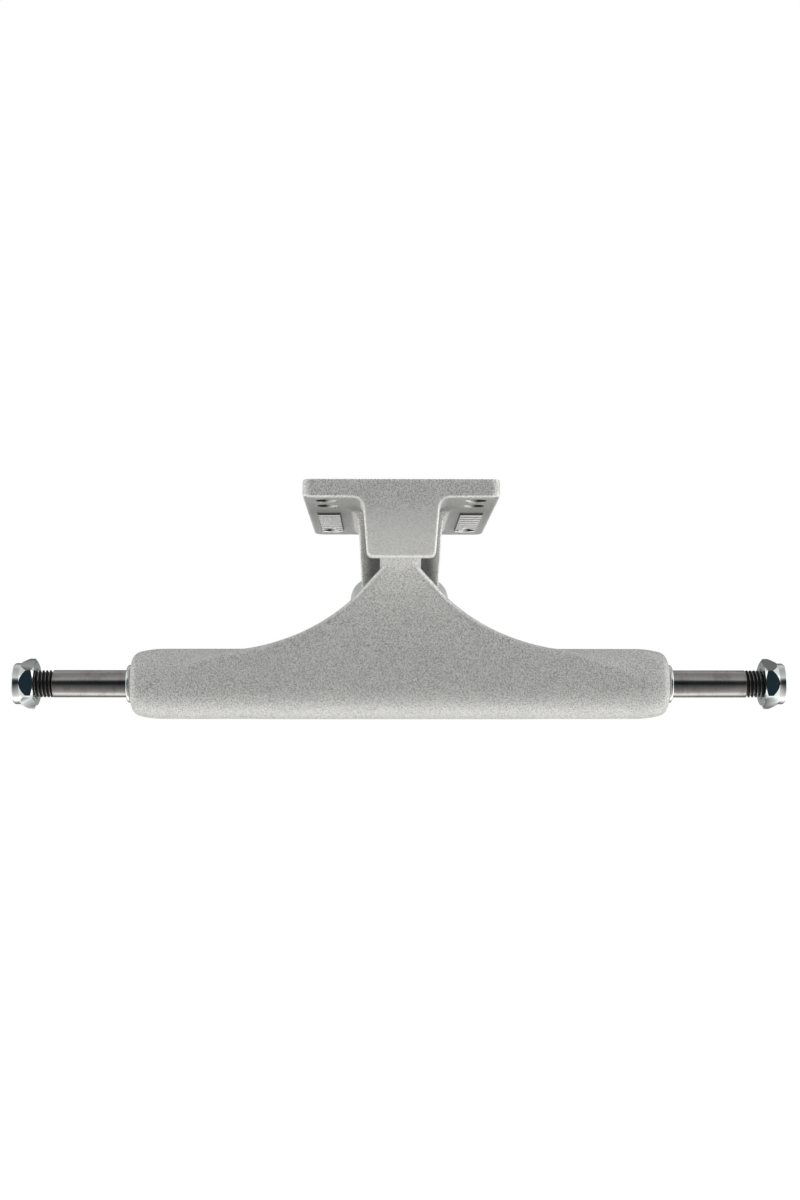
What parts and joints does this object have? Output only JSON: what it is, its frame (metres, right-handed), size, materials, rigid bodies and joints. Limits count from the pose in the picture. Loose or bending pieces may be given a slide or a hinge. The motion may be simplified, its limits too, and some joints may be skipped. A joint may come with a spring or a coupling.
{
  "type": "skateboard truck",
  "caption": "Skateboard truck: bolt-on base plate, tilted kingpin with soft bushings, and a cast T-shaped hanger that steers and carries a threaded axle.",
  "frame": {"origin": "centre of the outer bolt rectangle on the face of the base plate that meets the deck", "axes": "+Z out of that face, up to the deck; X along the axle; +Y from the pivot end of the base plate to the kingpin end"},
  "size_m": [0.224, 0.0794, 0.0646],
  "materials": {
    "cast_aluminium": "raw tumbled casting, fine grain",
    "axle_steel": "turned, rolled black threads",
    "kingpin_steel": "dark heat-treated",
    "zinc_plate": "bright zinc plating, faintly blue",
    "urethane": "smooth cast urethane, pale",
    "cup_plastic": "moulded, black",
    "nylon": "moulded, pale"
  },
  "bodies": {
    "base": {"baseplate": "cast_aluminium", "pivot_cup": "cup_plastic", "kingpin": "kingpin_steel", "board_side_washer": "zinc_plate", "board_side_bushing": "urethane", "road_side_bushing": "urethane", "road_side_washer": "zinc_plate"},
    "hanger": {"hanger": "cast_aluminium", "axle": "axle_steel"},
    "kingpin_nut_insert": {"kingpin_nut_insert": "nylon"},
    "kingpin_nut": {"kingpin_nut": "zinc_plate"},
    "axle_nut_insert_right": {"axle_nut_insert_right": "nylon"},
    "axle_nut_right": {"axle_nut_right": "zinc_plate"},
    "speed_ring_right": {"speed_ring_right": "zinc_plate"},
    "axle_nut_insert_left": {"axle_nut_insert_left": "nylon"},
    "axle_nut_left": {"axle_nut_left": "zinc_plate"},
    "speed_ring_left": {"speed_ring_left": "zinc_plate"}
  },
  "joints": [
    {"name": "steer", "type": "hinge", "parent": "base", "child": "hanger", "pos_m": [0, -0.0276, -0.0124], "axis": [0, 0.855, -0.5186], "range_deg": [-20, 20], "stiffness_Nm_per_rad": 30, "deforming": ["board_side_bushing", "road_side_bushing"]},
    {"name": "kingpin_nut_travel", "type": "slide", "parent": "base", "child": "kingpin_nut_insert", "axis": [0, -0.6018, 0.7986], "range_m": [-0.00212, 0]},
    {"name": "kingpin_nut_turn", "type": "hinge", "parent": "kingpin_nut_insert", "child": "kingpin_nut", "pos_m": [0, 0.009, -0.0266], "axis": [0, -0.6018, 0.7986], "range_deg": [-725, 5]},
    {"name": "axle_nut_right_travel", "type": "slide", "parent": "hanger", "child": "axle_nut_insert_right", "axis": [-1, 0, 0], "range_m": [-0.00847, 0.00423]},
    {"name": "axle_nut_right_turn", "type": "hinge", "parent": "axle_nut_insert_right", "child": "axle_nut_right", "pos_m": [0, -0.003, -0.05435], "axis": [-1, 0, 0], "range_deg": [-2885, 1445]},
    {"name": "speed_ring_right_slide", "type": "slide", "parent": "hanger", "child": "speed_ring_right", "axis": [1, 0, 0], "range_m": [0, 0.02]},
    {"name": "axle_nut_left_travel", "type": "slide", "parent": "hanger", "child": "axle_nut_insert_left", "axis": [1, 0, 0], "range_m": [-0.00847, 0.00423]},
    {"name": "axle_nut_left_turn", "type": "hinge", "parent": "axle_nut_insert_left", "child": "axle_nut_left", "pos_m": [0, -0.003, -0.05435], "axis": [1, 0, 0], "range_deg": [-2885, 1445]},
    {"name": "speed_ring_left_slide", "type": "slide", "parent": "hanger", "child": "speed_ring_left", "axis": [-1, 0, 0], "range_m": [0, 0.02]}
  ],
  "couplings": [
    {"joint": "kingpin_nut_turn", "follows": "kingpin_nut_travel", "rad_per_m": 5937.1},
    {"joint": "axle_nut_right_turn", "follows": "axle_nut_right_travel", "rad_per_m": 5937.1},
    {"joint": "axle_nut_left_turn", "follows": "axle_nut_left_travel", "rad_per_m": 5937.1}
  ]
}
